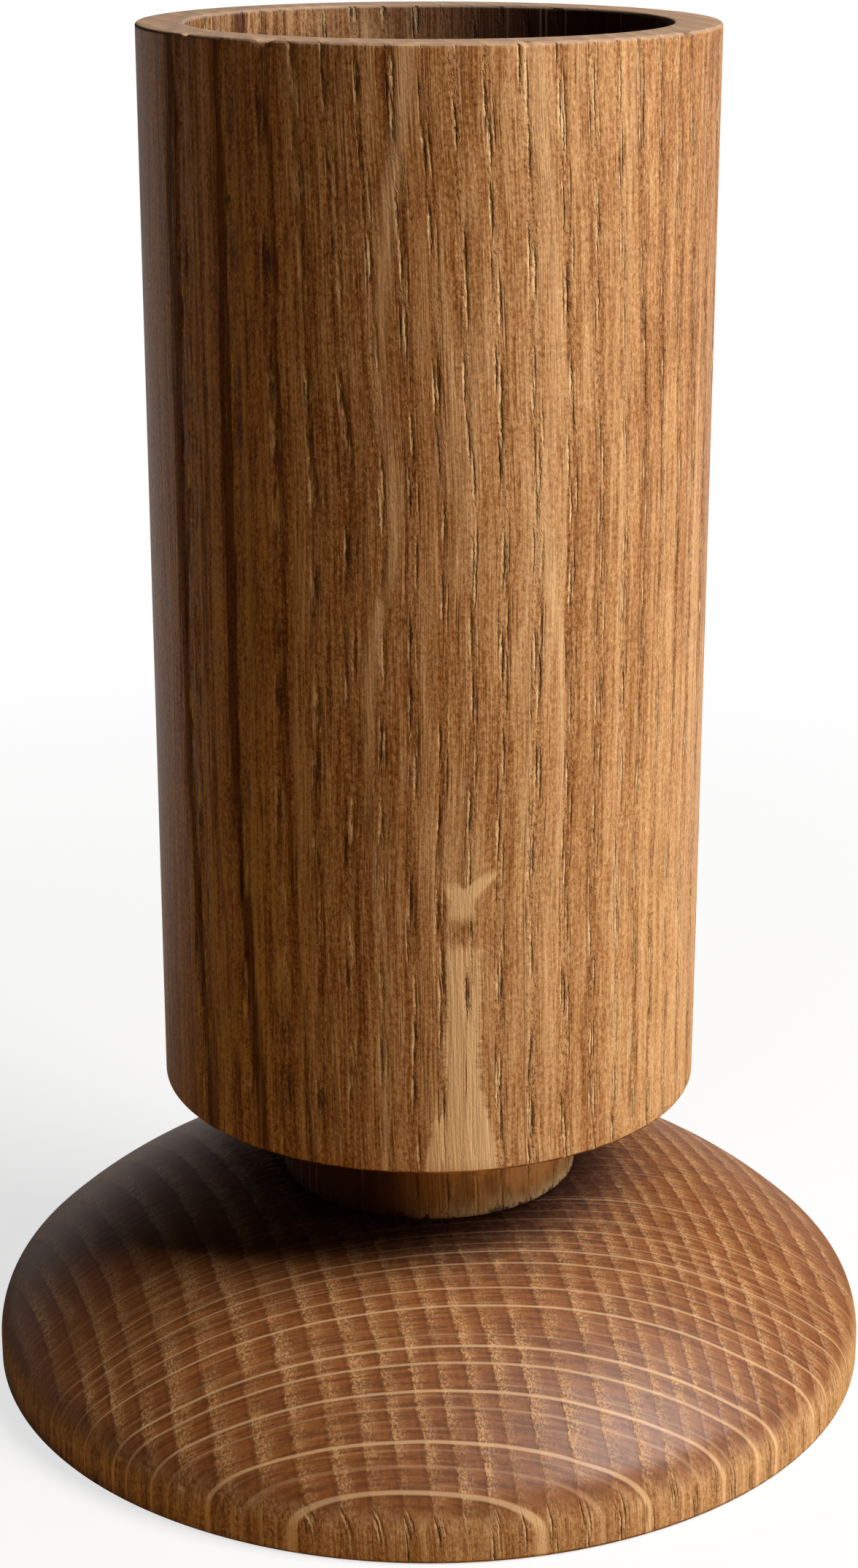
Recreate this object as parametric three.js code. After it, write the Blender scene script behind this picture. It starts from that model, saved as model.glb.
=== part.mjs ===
// A small turned oak flower vase: a straight hollow cup on a short neck and a domed base,
// with a loose glass liner inside the cup that holds the water.
// Millimetres, +Z up, origin at the centre of the ring that the vase stands on.
import * as THREE from "three";

// Cup: a straight cylinder, bored from the top, with a solid floor
const CUP_DIAMETER = 60;
const CUP_HEIGHT = 115.6;
const CUP_BORE = 50;
const CUP_FLOOR = 14;
const CUP_ARRIS = 0.4;
const BIT_SPUR_DIAMETER = 4;
const BIT_SPUR_DEPTH = 1.5;

// Neck: a short spindle with a round tenon at each end
const NECK_DIAMETER = 33.5;
const NECK_LENGTH = 12;
const TENON_DIAMETER = 20;
const UPPER_TENON = 8;
const LOWER_TENON = 14;
const TENON_CHAMFER = 1;
const GLUE_GAP = 0.15;
const GLUE_POCKET = 0.5;

// Base: a dome turned as one large arc that runs into a tight arc at the edge
const BASE_DIAMETER = 100;
const BASE_HEIGHT = 22.4;
const BASE_EDGE_HEIGHT = 2.9;
const BASE_EDGE_RADIUS = 7;
const BASE_ARRIS = 0.5;
const DOME_RADIUS = 52.2;
const STANDING_RING_WIDTH = 9;
const UNDERSIDE_DISH = 1.2;

// Liner: a straight glass beaker that drops into the bore
const LINER_CLEARANCE = 0.75;
const LINER_WALL = 2;
const LINER_FLOOR = 4;
const LINER_BELOW_RIM = 5.6;
const LINER_FOOT_RADIUS = 3;
const LINER_INNER_RADIUS = 2;
const LINER_STANDING_RING = 6;
const LINER_PUNT = 0.6;

// Facets: strips round a turning, the angle of one step along an arc, and steps on small arcs
const FACETS = 72;
const ARC_STEP = THREE.MathUtils.degToRad(7);
const DISH_STEPS = 4;
const LINER_RIM_STEPS = 6;
const LINER_CORNER_STEPS = 4;

// Colours of the oiled oak, piece by piece, and of the clear glass
const CUP_COLOUR = 0xa8784b;
const NECK_COLOUR = 0x94653c;
const BASE_COLOUR = 0x9b6b41;
const GLASS_COLOUR = 0xe6efec;

// One corner of a half outline: radius to the right, height up.
const corner = (radius, height) => new THREE.Vector2(radius, height);

// An arc of a half outline between two angles, in steps short enough to look round.
function arc(centre, radius, from, to, steps = Math.ceil(Math.abs(to - from) / ARC_STEP)) {
  const curve = new THREE.EllipseCurve(centre.x, centre.y, radius, radius, from, to, to < from);
  return curve.getPoints(steps);
}

// Turns a half outline about +Z. It runs anticlockwise, from the axis back to the axis.
function turning(name, outline, material) {
  const geometry = new THREE.LatheGeometry(outline, FACETS).rotateX(Math.PI / 2);
  const mesh = new THREE.Mesh(geometry, material);
  mesh.name = name;
  return mesh;
}

// Oiled oak with a satin surface, in the tone of one piece.
const oak = (colour) => new THREE.MeshStandardMaterial({ color: colour, roughness: 0.55, metalness: 0 });

// A blind mortise in an outline, wide and deep enough for a tenon and its glue.
const mortiseRadius = TENON_DIAMETER / 2 + GLUE_GAP;
const mortiseDepth = (tenon) => tenon + GLUE_POCKET;

// Centre of the dome's arc: it starts at the neck's foot and meets the edge arc without a kink,
// so it is a dome radius from the foot and a dome radius less an edge radius from the edge arc's centre.
function domeCentre(foot, edgeCentre) {
  const toFoot = DOME_RADIUS;
  const toEdge = DOME_RADIUS - BASE_EDGE_RADIUS;
  const chord = edgeCentre.clone().sub(foot);
  const length = chord.length();
  const along = (toFoot ** 2 - toEdge ** 2 + length ** 2) / (2 * length);
  const below = Math.sqrt(toFoot ** 2 - along ** 2);
  const direction = chord.divideScalar(length);
  const inward = corner(direction.y, -direction.x);
  return foot.clone().addScaledVector(direction, along).addScaledVector(inward, below);
}

// The underside is dished a little, so that the base stands on a ring and cannot rock.
function underside() {
  const ringInner = BASE_DIAMETER / 2 - BASE_ARRIS - STANDING_RING_WIDTH;
  const dishRadius = (ringInner ** 2 + UNDERSIDE_DISH ** 2) / (2 * UNDERSIDE_DISH);
  const upright = Math.PI / 2;
  const centre = corner(0, UNDERSIDE_DISH - dishRadius);
  return arc(centre, dishRadius, upright, upright - Math.asin(ringInner / dishRadius), DISH_STEPS);
}

function makeBase() {
  const radius = BASE_DIAMETER / 2;
  const foot = corner(NECK_DIAMETER / 2, BASE_HEIGHT);
  const edgeCentre = corner(radius - BASE_EDGE_RADIUS, BASE_EDGE_HEIGHT);
  const centre = domeCentre(foot, edgeCentre);
  const kissing = edgeCentre.clone().sub(centre).angle();
  const footAngle = foot.clone().sub(centre).angle();
  const mortiseFloor = BASE_HEIGHT - mortiseDepth(LOWER_TENON);
  const outline = [
    ...underside(),
    corner(radius - BASE_ARRIS, 0),
    corner(radius, BASE_ARRIS),
    ...arc(edgeCentre, BASE_EDGE_RADIUS, 0, kissing),
    ...arc(centre, DOME_RADIUS, kissing, footAngle).slice(1),
    corner(mortiseRadius, BASE_HEIGHT),
    corner(mortiseRadius, mortiseFloor),
    corner(0, mortiseFloor),
  ];
  return turning("base", outline, oak(BASE_COLOUR));
}

// Height 0 of the neck is its lower shoulder, which sits on the base.
function makeNeck() {
  const tenon = TENON_DIAMETER / 2;
  const outline = [
    corner(0, -LOWER_TENON),
    corner(tenon - TENON_CHAMFER, -LOWER_TENON),
    corner(tenon, TENON_CHAMFER - LOWER_TENON),
    corner(tenon, 0),
    corner(NECK_DIAMETER / 2, 0),
    corner(NECK_DIAMETER / 2, NECK_LENGTH),
    corner(tenon, NECK_LENGTH),
    corner(tenon, NECK_LENGTH + UPPER_TENON - TENON_CHAMFER),
    corner(tenon - TENON_CHAMFER, NECK_LENGTH + UPPER_TENON),
    corner(0, NECK_LENGTH + UPPER_TENON),
  ];
  return turning("neck", outline, oak(NECK_COLOUR));
}

// Height 0 of the cup is its underside, which sits on the neck's upper shoulder.
// A flat boring bit leaves a flat floor with the mark of its spur in the middle.
function makeCup() {
  const outer = CUP_DIAMETER / 2;
  const bore = CUP_BORE / 2;
  const mortiseRoof = mortiseDepth(UPPER_TENON);
  const outline = [
    corner(0, mortiseRoof),
    corner(mortiseRadius, mortiseRoof),
    corner(mortiseRadius, 0),
    corner(outer - CUP_ARRIS, 0),
    corner(outer, CUP_ARRIS),
    corner(outer, CUP_HEIGHT - CUP_ARRIS),
    corner(outer - CUP_ARRIS, CUP_HEIGHT),
    corner(bore + CUP_ARRIS, CUP_HEIGHT),
    corner(bore, CUP_HEIGHT - CUP_ARRIS),
    corner(bore, CUP_FLOOR),
    corner(BIT_SPUR_DIAMETER / 2, CUP_FLOOR),
    corner(0, CUP_FLOOR - BIT_SPUR_DEPTH),
  ];
  return turning("cup", outline, oak(CUP_COLOUR));
}

// Height 0 of the liner is its standing ring, which sits on the cup's floor.
// The rim is melted to a half round, and the middle of the foot is pushed up a little.
function makeLiner() {
  const outer = CUP_BORE / 2 - LINER_CLEARANCE;
  const inner = outer - LINER_WALL;
  const height = CUP_HEIGHT - CUP_FLOOR - LINER_BELOW_RIM;
  const rimRadius = LINER_WALL / 2;
  const footCentre = corner(outer - LINER_FOOT_RADIUS, LINER_FOOT_RADIUS);
  const rimCentre = corner(outer - rimRadius, height - rimRadius);
  const innerCentre = corner(inner - LINER_INNER_RADIUS, LINER_FLOOR + LINER_INNER_RADIUS);
  const outline = [
    corner(0, LINER_PUNT),
    corner(footCentre.x - LINER_STANDING_RING, 0),
    ...arc(footCentre, LINER_FOOT_RADIUS, -Math.PI / 2, 0, LINER_CORNER_STEPS),
    ...arc(rimCentre, rimRadius, 0, Math.PI, LINER_RIM_STEPS),
    ...arc(innerCentre, LINER_INNER_RADIUS, 0, -Math.PI / 2, LINER_CORNER_STEPS),
    corner(0, LINER_FLOOR),
  ];
  const glass = new THREE.MeshStandardMaterial({
    color: GLASS_COLOUR,
    roughness: 0.05,
    metalness: 0,
    transparent: true,
    opacity: 0.35,
  });
  return turning("glass_liner", outline, glass);
}

// Each piece stands on the one below it, so its group carries everything above.
const vase = new THREE.Group();
const onBase = new THREE.Group();
onBase.position.z = BASE_HEIGHT;
const onNeck = new THREE.Group();
onNeck.position.z = NECK_LENGTH;
const inCup = new THREE.Group();
inCup.position.z = CUP_FLOOR;

vase.add(makeBase(), onBase);
onBase.add(makeNeck(), onNeck);
onNeck.add(makeCup(), inCup);
inCup.add(makeLiner());

export default vase;
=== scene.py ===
# %% [markdown]
# A turned oak bud vase. Three oak turnings, a cup, a neck and a domed base, are glued end to end, and a
# loose glass liner in the cup holds the water. The exact solids come from CAD as a fixed frame, in metres,
# with +Z up and the front of the vase towards -Y. This lesson gives every piece its fine surface and its
# finish: open pores, pale rays, crisp edges with small chips, and clear glass. All four pieces are surfaces
# of revolution, so one function that carries a profile round the axis makes them all.

import functools
import math

import bpy
import numpy as np
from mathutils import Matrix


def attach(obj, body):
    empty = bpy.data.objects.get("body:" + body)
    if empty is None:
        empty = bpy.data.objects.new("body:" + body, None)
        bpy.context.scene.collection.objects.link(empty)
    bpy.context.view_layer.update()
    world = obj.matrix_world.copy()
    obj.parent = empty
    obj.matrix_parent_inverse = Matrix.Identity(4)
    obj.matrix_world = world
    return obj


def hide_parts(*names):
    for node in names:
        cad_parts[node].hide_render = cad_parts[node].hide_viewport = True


MM = 0.001


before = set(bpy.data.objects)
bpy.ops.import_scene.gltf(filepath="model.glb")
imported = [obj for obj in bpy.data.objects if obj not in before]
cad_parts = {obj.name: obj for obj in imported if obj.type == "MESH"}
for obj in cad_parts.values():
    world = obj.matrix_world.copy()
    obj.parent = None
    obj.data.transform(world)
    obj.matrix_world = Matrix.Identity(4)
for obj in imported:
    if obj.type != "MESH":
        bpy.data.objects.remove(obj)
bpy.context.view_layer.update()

# %% [markdown]
# The sizes are read from the frame, so the looks can never drift away from the solids. Every CAD node here
# is turned, so its corners lie in rings, and a corner's distance from the upright axis says which ring it
# is on.

# %% Sizes of the turned solids
HAIR = 0.01 * MM
NEAR_RIM = 2 * MM


def rings_of(node):
    """Radius and height of each corner of a turned node: the radius is the distance from the axis."""
    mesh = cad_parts[node].data
    flat = np.empty(3 * len(mesh.vertices), np.float32)
    mesh.vertices.foreach_get("co", flat)
    x, y, z = flat.astype(float).reshape(-1, 3).T
    return np.hypot(x, y), z


def heights_at(node, radius):
    """Heights of the rings of a node that have this radius, to within a hair."""
    ring, height = rings_of(node)
    return height[np.abs(ring - radius) < HAIR]


def radii_at(node, level):
    """Radii of the rings of a node that lie at this height, to within a hair."""
    ring, height = rings_of(node)
    return ring[np.abs(height - level) < HAIR]


def ends(values):
    """The smallest and the largest."""
    return values.min(), values.max()


cup_ring, cup_height = rings_of("cup")
CUP_RADIUS = cup_ring.max()
CUP_FOOT, CUP_RIM = ends(cup_height)
BORE_RADIUS = cup_ring[cup_height > CUP_RIM - NEAR_RIM].min()
BORE_FLOOR = heights_at("cup", BORE_RADIUS).min()
SPUR_RADIUS = radii_at("cup", BORE_FLOOR).min()
CUP_MORTISE, SPUR_TIP = ends(heights_at("cup", 0))
MORTISE_RADIUS = radii_at("cup", CUP_FOOT).min()

neck_ring, neck_height = rings_of("neck")
NECK_RADIUS = neck_ring.max()
NECK_FOOT, NECK_TOP = ends(heights_at("neck", NECK_RADIUS))
TENON_LOW, TENON_HIGH = ends(neck_height)
TENON_RADIUS = neck_ring[neck_ring < NECK_RADIUS - HAIR].max()
TENON_CHAMFER = TENON_RADIUS - radii_at("neck", TENON_LOW).max()

base_ring, base_height = rings_of("base")
BASE_RADIUS = base_ring.max()
BASE_EDGE = heights_at("base", BASE_RADIUS).max()
BASE_TOP = base_height.max()
BASE_DISH, BASE_MORTISE = ends(heights_at("base", 0))
STANDING_RING = radii_at("base", 0).min()

liner_ring, liner_height = rings_of("glass_liner")
LINER_RADIUS = liner_ring.max()
LINER_FOOT, LINER_RIM = ends(liner_height)
LINER_INNER = liner_ring[liner_height > LINER_RIM - NEAR_RIM].min()
LINER_PUNT, LINER_FLOOR = ends(heights_at("glass_liner", 0))
print(f"cup {CUP_RADIUS:.4f}, bore {BORE_RADIUS:.4f}, neck {NECK_RADIUS:.4f}, base {BASE_RADIUS:.4f}")

# %% [markdown]
# The camera stands where the photograph was taken from: a little above the rim, looking down at about
# 18 degrees, close enough that the straight cup seems to widen upwards. The sensor's 36 mm lie along the
# picture's long side, which is upright here.

# %% Camera
CAMERA_PLACE = (0.0, -0.3105, 0.1712)
CAMERA_DOWN = 18.45
CAMERA_LENS, CAMERA_SENSOR = 67.6, 36.0

camera = bpy.data.objects.new("camera", bpy.data.cameras.new("camera"))
camera.location = CAMERA_PLACE
camera.rotation_euler = (math.radians(90 - CAMERA_DOWN), 0, 0)
camera.data.sensor_width = CAMERA_SENSOR
camera.data.lens = CAMERA_LENS
camera.data.clip_start = 10 * MM
bpy.context.scene.collection.objects.link(camera)
bpy.context.scene.camera = camera
print("camera at", CAMERA_PLACE, "lens", CAMERA_LENS)

# %% [markdown]
# A finish is a tree of nodes, and it reads best as plain arithmetic. So a wire, the output of a node, can be
# added, multiplied and so on, and each step adds the node that works it out. Every other kind of node is one
# short call. The room, the floor, the oak and the glass are all built this way.

# %% Node helper
def paint(red, green, blue):
    """A colour given as screen values from 0 to 255, as the linear values that a shader works with."""
    screen = np.array([red, green, blue]) / 255
    linear = np.where(screen < 0.04045, screen / 12.92, ((screen + 0.055) / 1.055) ** 2.4)
    return (*linear, 1.0)


class Wire:
    """The output of a node. Arithmetic with it adds the node that works it out."""

    def __init__(self, nodes, socket):
        self.nodes, self.socket = nodes, socket

    def __add__(self, other):
        return self.nodes.math("ADD", self, other)

    def __sub__(self, other):
        return self.nodes.math("SUBTRACT", self, other)

    def __rsub__(self, other):
        return self.nodes.math("SUBTRACT", other, self)

    def __mul__(self, other):
        return self.nodes.math("MULTIPLY", self, other)

    def __truediv__(self, other):
        return self.nodes.math("DIVIDE", self, other)

    def __abs__(self):
        return self.nodes.math("ABSOLUTE", self)

    __radd__, __rmul__ = __add__, __mul__


class Nodes:
    """A node tree under construction. Each method adds nodes and returns the output that is used."""

    def __init__(self, tree):
        self.tree = tree

    def feed(self, socket, value):
        """Links a socket to an output, or sets the socket's own number or colour."""
        if isinstance(value, Wire):
            value = value.socket
        if isinstance(value, bpy.types.NodeSocket):
            self.tree.links.new(value, socket)
        else:
            socket.default_value = value

    def add(self, kind, inputs, output=0, **settings):
        """One node with its settings, its inputs fed by name or number."""
        node = self.tree.nodes.new(kind)
        for name, value in settings.items():
            setattr(node, name, value)
        for name, value in inputs.items():
            self.feed(node.inputs[name], value)
        return Wire(self, node.outputs[output])

    def math(self, operation, *values):
        """One step of arithmetic."""
        return self.add("ShaderNodeMath", dict(enumerate(values)), operation=operation)

    def largest(self, *values):
        """The largest of all the values."""
        return functools.reduce(functools.partial(self.math, "MAXIMUM"), values)

    def fade(self, value, low, high, start=0.0, end=1.0):
        """Smooth step: start below low, end above high, and an S-shaped curve between them."""
        inputs = {"Value": value, "From Min": low, "From Max": high, "To Min": start, "To Max": end}
        return self.add("ShaderNodeMapRange", inputs, interpolation_type="SMOOTHSTEP")

    def stripes(self, place, bands, inner, outer):
        """The strongest of several stripes, from (centre, half width, strength): full within the inner share
        of the half width and gone at the outer share."""
        edges = [self.fade(abs(place - centre), inner * half, outer * half, strength, 0.0)
                 for centre, half, strength in bands]
        return self.largest(0.0, *edges)

    def stretch(self, vector, scale):
        return self.add("ShaderNodeVectorMath", {0: vector, 1: scale}, operation="MULTIPLY")

    def split(self, vector):
        node = self.tree.nodes.new("ShaderNodeSeparateXYZ")
        self.feed(node.inputs[0], vector)
        return tuple(Wire(self, socket) for socket in node.outputs)

    def join(self, x, y, z):
        return self.add("ShaderNodeCombineXYZ", {0: x, 1: y, 2: z})

    def noise(self, vector, detail=2.0, roughness=0.5):
        """Soft noise from 0 to 1, about one bump to each unit of the vector."""
        inputs = {"Vector": vector, "Scale": 1.0, "Detail": detail, "Roughness": roughness}
        return self.add("ShaderNodeTexNoise", inputs, output="Fac")

    def wobble(self, noise, size):
        """A noise from 0 to 1 turned into a wobble of this size about zero."""
        return size * (noise - 0.5)

    def cells(self, vector, dimensions="3D"):
        """Distance to the nearest of scattered points, one to each unit cell."""
        inputs = {"Vector": vector, "Scale": 1.0}
        return self.add("ShaderNodeTexVoronoi", inputs, output="Distance", voronoi_dimensions=dimensions)

    def mix(self, share, first, second):
        return self.add("ShaderNodeMix", {0: share, 6: first, 7: second}, output=2, data_type="RGBA")

    def ramp(self, value, tones):
        """A run of colours, given as (place from 0 to 1, colour)."""
        node = self.tree.nodes.new("ShaderNodeValToRGB")
        stops = node.color_ramp.elements
        for at, (where, colour) in enumerate(tones):
            stop = stops[at] if at < 2 else stops.new(where)
            stop.position = where
            stop.color = colour
        self.feed(node.inputs["Fac"], value)
        return Wire(self, node.outputs["Color"])

    def curve(self, value, points):
        """A smooth curve through a few (x, y) points, with both axes from 0 to 1."""
        node = self.tree.nodes.new("ShaderNodeFloatCurve")
        line = node.mapping.curves[0].points
        for at, (x, y) in enumerate(points):
            if at < 2:
                line[at].location = (x, y)
            else:
                line.new(x, y)
        node.mapping.update()
        self.feed(node.inputs["Value"], value)
        return Wire(self, node.outputs["Value"])


class Finish(Nodes):
    """A material under construction, with its shader and its output."""

    def __init__(self, name):
        self.material = bpy.data.materials.new(name)
        self.material.use_nodes = True
        super().__init__(self.material.node_tree)
        self.shader = self.tree.nodes["Principled BSDF"]
        self.output = self.tree.nodes["Material Output"]

    def coat(self, inputs):
        """Feeds the shader by the names of its inputs, and returns the material."""
        for name, value in inputs.items():
            self.feed(self.shader.inputs[name], value)
        return self.material


print("node helper with", len(vars(Nodes)), "names")

# %% [markdown]
# One broad soft window on the right lights the vase, high enough that the cup shades the left of the base.
# A weak low glow reaches under the cup, and a low lamp behind keeps the back readable. The room is dim, so
# that the form reads. The camera sees it plain white, and gloss sees a pale wall at the horizon.

# %% Lamps and room
def add_lamp(name, azimuth, height, distance, size, power, colour):
    """An area lamp aimed at the middle of the vase. Azimuth 0 is the camera's side, 90 the right."""
    around, lift = math.radians(azimuth), math.radians(height)
    away = np.array([math.sin(around) * math.cos(lift), -math.cos(around) * math.cos(lift), math.sin(lift)])
    data = bpy.data.lights.new(name, "AREA")
    data.shape = "RECTANGLE"
    data.size, data.size_y = size
    data.energy = power
    data.color = colour
    lamp = bpy.data.objects.new(name, data)
    lamp.location = np.array([0, 0, CUP_RIM / 2]) + distance * away
    lamp.rotation_euler = (math.radians(90) - lift, 0, around)
    bpy.context.scene.collection.objects.link(lamp)
    return lamp


WHITE = (1, 1, 1, 1)
WALL_FADES = (0.0, 0.25)


def dim_room_white_backdrop(room, wall):
    """Lights the vase with room. The camera and the glass see white, and gloss sees a wall of this brightness
    at the horizon, which fades as the direction rises."""
    world = bpy.data.worlds.new("studio")
    world.use_nodes = True
    nodes = Nodes(world.node_tree)
    nodes.tree.nodes.clear()
    light = nodes.add("ShaderNodeBackground", {"Color": (*room, 1)})
    white = nodes.add("ShaderNodeBackground", {"Color": WHITE})
    path = nodes.tree.nodes.new("ShaderNodeLightPath").outputs
    clear = nodes.largest(path["Is Camera Ray"], path["Is Transmission Ray"])
    upward = nodes.split(nodes.add("ShaderNodeTexCoord", {}, output="Generated"))[2]
    span = {"From Min": WALL_FADES[0], "From Max": WALL_FADES[1], "To Min": wall, "To Max": 0.0}
    pale = nodes.add("ShaderNodeMapRange", {"Value": upward, **span})
    parts = {0: path["Is Glossy Ray"], 1: pale, 2: clear}
    seen = nodes.add("ShaderNodeMath", parts, operation="MULTIPLY_ADD", use_clamp=True)
    shown = nodes.add("ShaderNodeMixShader", {0: seen, 1: light, 2: white})
    output = nodes.tree.nodes.new("ShaderNodeOutputWorld")
    nodes.feed(output.inputs["Surface"], shown)
    bpy.context.scene.world = world


WARM_WHITE, COOL_WHITE = (1, 0.98, 0.95), (0.9, 0.95, 1)
add_lamp("window_right", azimuth=70, height=46, distance=0.75, size=(0.4, 0.28), power=7.8, colour=WARM_WHITE)
add_lamp("table_glow", azimuth=80, height=2, distance=0.8, size=(0.25, 0.15), power=0.9, colour=WARM_WHITE)
back = add_lamp("window_back", azimuth=-172, height=4, distance=0.8, size=(0.5, 0.25), power=1.3,
                colour=COOL_WHITE)
back.visible_glossy = False
dim_room_white_backdrop(room=(0.008, 0.005, 0.003), wall=0.6)
bpy.context.scene.view_settings.view_transform = "Standard"

# %% [markdown]
# The floor is a pale disc. Its edge fades into the white background, so the vase stands in an empty white
# room, and near the vase it still takes a soft shadow. Only the camera sees it as white: the light that
# bounces off it meets a darker, warmer surface, so it does not flood the shaded side.

# %% Floor
FLOOR_RADIUS, FLOOR_COLUMNS = 0.9, 96
SHADOW_REACH, SHADOW_WHITE = (0.08, 0.32), (0.72, 1.0)
GLOSS_REACH, GLOSS_WHITE = (0.0, 0.2), (0.05, 0.85)
PAPER, WARM_TABLE = (0.95, 0.95, 0.95, 1), (0.43, 0.25, 0.07, 1)


def white_floor_finish():
    """Paper that takes the shadow, shown to the camera mixed with plain white, and all white past the reach.
    Gloss sees it pale behind the vase and dim in front, and bounced light meets a warm table."""
    f = Finish("white_floor")
    place = f.add("ShaderNodeTexCoord", {}, output="Object")
    reach = f.add("ShaderNodeVectorMath", {0: place}, output="Value", operation="LENGTH")
    path = f.tree.nodes.new("ShaderNodeLightPath").outputs
    behind = path["Is Glossy Ray"] * f.fade(f.split(place)[1], *GLOSS_REACH, *GLOSS_WHITE)
    clear = f.largest(path["Is Camera Ray"], path["Is Transmission Ray"], behind)
    paper = f.add("ShaderNodeBsdfDiffuse", {"Color": PAPER})
    glow = f.add("ShaderNodeEmission", {"Color": WHITE, "Strength": 1.0})
    table = f.add("ShaderNodeBsdfDiffuse", {"Color": WARM_TABLE})
    seen = f.add("ShaderNodeMixShader", {0: f.fade(reach, *SHADOW_REACH, *SHADOW_WHITE), 1: paper, 2: glow})
    shown = f.add("ShaderNodeMixShader", {0: clear, 1: table, 2: seen})
    f.feed(f.output.inputs["Surface"], shown)
    return f.material


def disc(name, radius, columns):
    """A flat ring of corners round the origin, closed by one face."""
    angle = np.linspace(0, 2 * np.pi, columns, endpoint=False)
    points = np.c_[radius * np.cos(angle), radius * np.sin(angle), np.zeros(columns)]
    mesh = bpy.data.meshes.new(name)
    mesh.from_pydata(points.tolist(), [], [list(range(columns))])
    piece = bpy.data.objects.new(name, mesh)
    bpy.context.scene.collection.objects.link(piece)
    return piece


floor = disc("floor", FLOOR_RADIUS, FLOOR_COLUMNS)
floor.data.materials.append(white_floor_finish())
print("floor radius", FLOOR_RADIUS)

# %% [markdown]
# Every piece is turned, so its shape is a half outline carried round the axis. The outline starts on the
# axis, runs anticlockwise round the half section and ends on the axis. Blender's Screw modifier could turn
# it too, but on a grid of our own a relief can press the surface in along its own normal, and so grooves,
# chips and torn grain become real shape. A map of angle and length along the outline goes with the mesh.

# %% Outlines and turning
def run(*stops):
    """Straight stretches between stops (radius, height, rows): so many evenly spaced points from each stop
    up to, but without, the next."""
    return np.vstack([np.linspace(start[:2], end[:2], start[2], endpoint=False)
                      for start, end in zip(stops, stops[1:])])


def bend(centre, radius, start, end, rows):
    """Points of an arc, centre plus radius times (cos, sin), from start to just before end, in degrees."""
    angle = np.radians(np.linspace(start, end, rows, endpoint=False))
    return np.c_[centre[0] + radius * np.cos(angle), centre[1] + radius * np.sin(angle)]


def outline_normals(outline):
    """Unit normals of an anticlockwise outline: its direction turned a quarter turn clockwise."""
    along = np.gradient(outline, axis=0)
    along /= np.linalg.norm(along, axis=1, keepdims=True)
    return np.c_[along[:, 1], -along[:, 0]]


def turned_grid(rows, columns):
    """Row and column of each corner of each face, and how many corners the faces have: quads between two rows
    and two columns, and at each end of the outline a fan of triangles with its tip between two columns."""
    row, column = np.meshgrid(np.arange(1, rows), np.arange(columns), indexing="ij")
    quads = np.stack([row, column, row, column + 1, row + 1, column + 1, row + 1, column], axis=-1)
    near, first, last = np.arange(columns), np.ones(columns), np.full(columns, rows)
    low_fan = np.c_[0 * first, near + 0.5, first, near + 1, first, near]
    high_fan = np.c_[last, near, last, near + 1, last + 1, near + 0.5]
    places = np.concatenate([quads.ravel(), low_fan.ravel(), high_fan.ravel()]).reshape(-1, 2)
    sizes = np.concatenate([np.full(quads.size // 8, 4), np.full(2 * columns, 3)])
    return places[:, 0].astype(int), places[:, 1], sizes


def turn(name, outline, columns, relief=None, marks=None):
    """A closed surface of revolution. Angle a and outline point (r, z) give the point (r sin a, -r cos a, z),
    moved along the outline's normal by relief(a, r, z). Angle 0 is the front, a quarter turn the right. The
    outline's two ends close as single corners. marks(a, r, z) is kept as the attribute groove."""
    radius, height = outline[1:-1, 0:1], outline[1:-1, 1:2]
    normal = outline_normals(outline)[1:-1]
    angle = np.linspace(-np.pi, np.pi, columns, endpoint=False)[None, :]
    lift = np.zeros((len(radius), columns)) if relief is None else relief(angle, radius, height)
    r = radius + lift * normal[:, 0:1]
    z = height + lift * normal[:, 1:2]
    grid = np.stack([r * np.sin(angle), -r * np.cos(angle), z], axis=-1).reshape(-1, 3)
    points = np.vstack([grid, [(0, 0, outline[0, 1]), (0, 0, outline[-1, 1])]])
    row, column, sizes = turned_grid(len(radius), columns)
    corners = (row - 1) * columns + column.astype(int) % columns
    corners[row == 0] = len(grid)
    corners[row > len(radius)] = len(grid) + 1
    length = np.concatenate([[0], np.cumsum(np.linalg.norm(np.diff(outline, axis=0), axis=1))])
    flat_map = np.c_[column / columns, length[row] / length[-1]]

    mesh = bpy.data.meshes.new(name)
    mesh.vertices.add(len(points))
    mesh.vertices.foreach_set("co", points.astype(np.float32).ravel())
    mesh.loops.add(len(corners))
    mesh.loops.foreach_set("vertex_index", corners.astype(np.int32))
    mesh.polygons.add(len(sizes))
    mesh.polygons.foreach_set("loop_start", (np.cumsum(sizes) - sizes).astype(np.int32))
    mesh.update(calc_edges=True)
    mesh.shade_smooth()
    layer = mesh.uv_layers.new(name="OFBake", do_init=False)
    layer.uv.foreach_set("vector", flat_map.astype(np.float32).ravel())
    if marks is not None:
        groove = mesh.attributes.new("groove", "FLOAT", "POINT")
        depth = np.append(marks(angle, radius, height).ravel(), [0, 0])
        groove.data.foreach_set("value", depth.astype(np.float32))
    piece = bpy.data.objects.new(name, mesh)
    bpy.context.scene.collection.objects.link(piece)
    print(f"{name}: {len(points)} corners, {sum(sizes - 2)} triangles")
    return piece


print("outlines are ready to be turned")

# %% [markdown]
# All the oak comes from one blank. Its growth rings stand as nearly flat sheets that face left and right,
# and its rays run from left to right, spreading from a heart on the left. The tree grew more on one side,
# so the rings bend round a centre further off than the one the rays spread from. The grain is upright in
# every piece: the cup's wall shows long grain and the base's dome shows end grain. The same functions, in
# millimetres, place the rings in the finish, where they take wires, and in the relief, where they take
# numbers.

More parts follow.
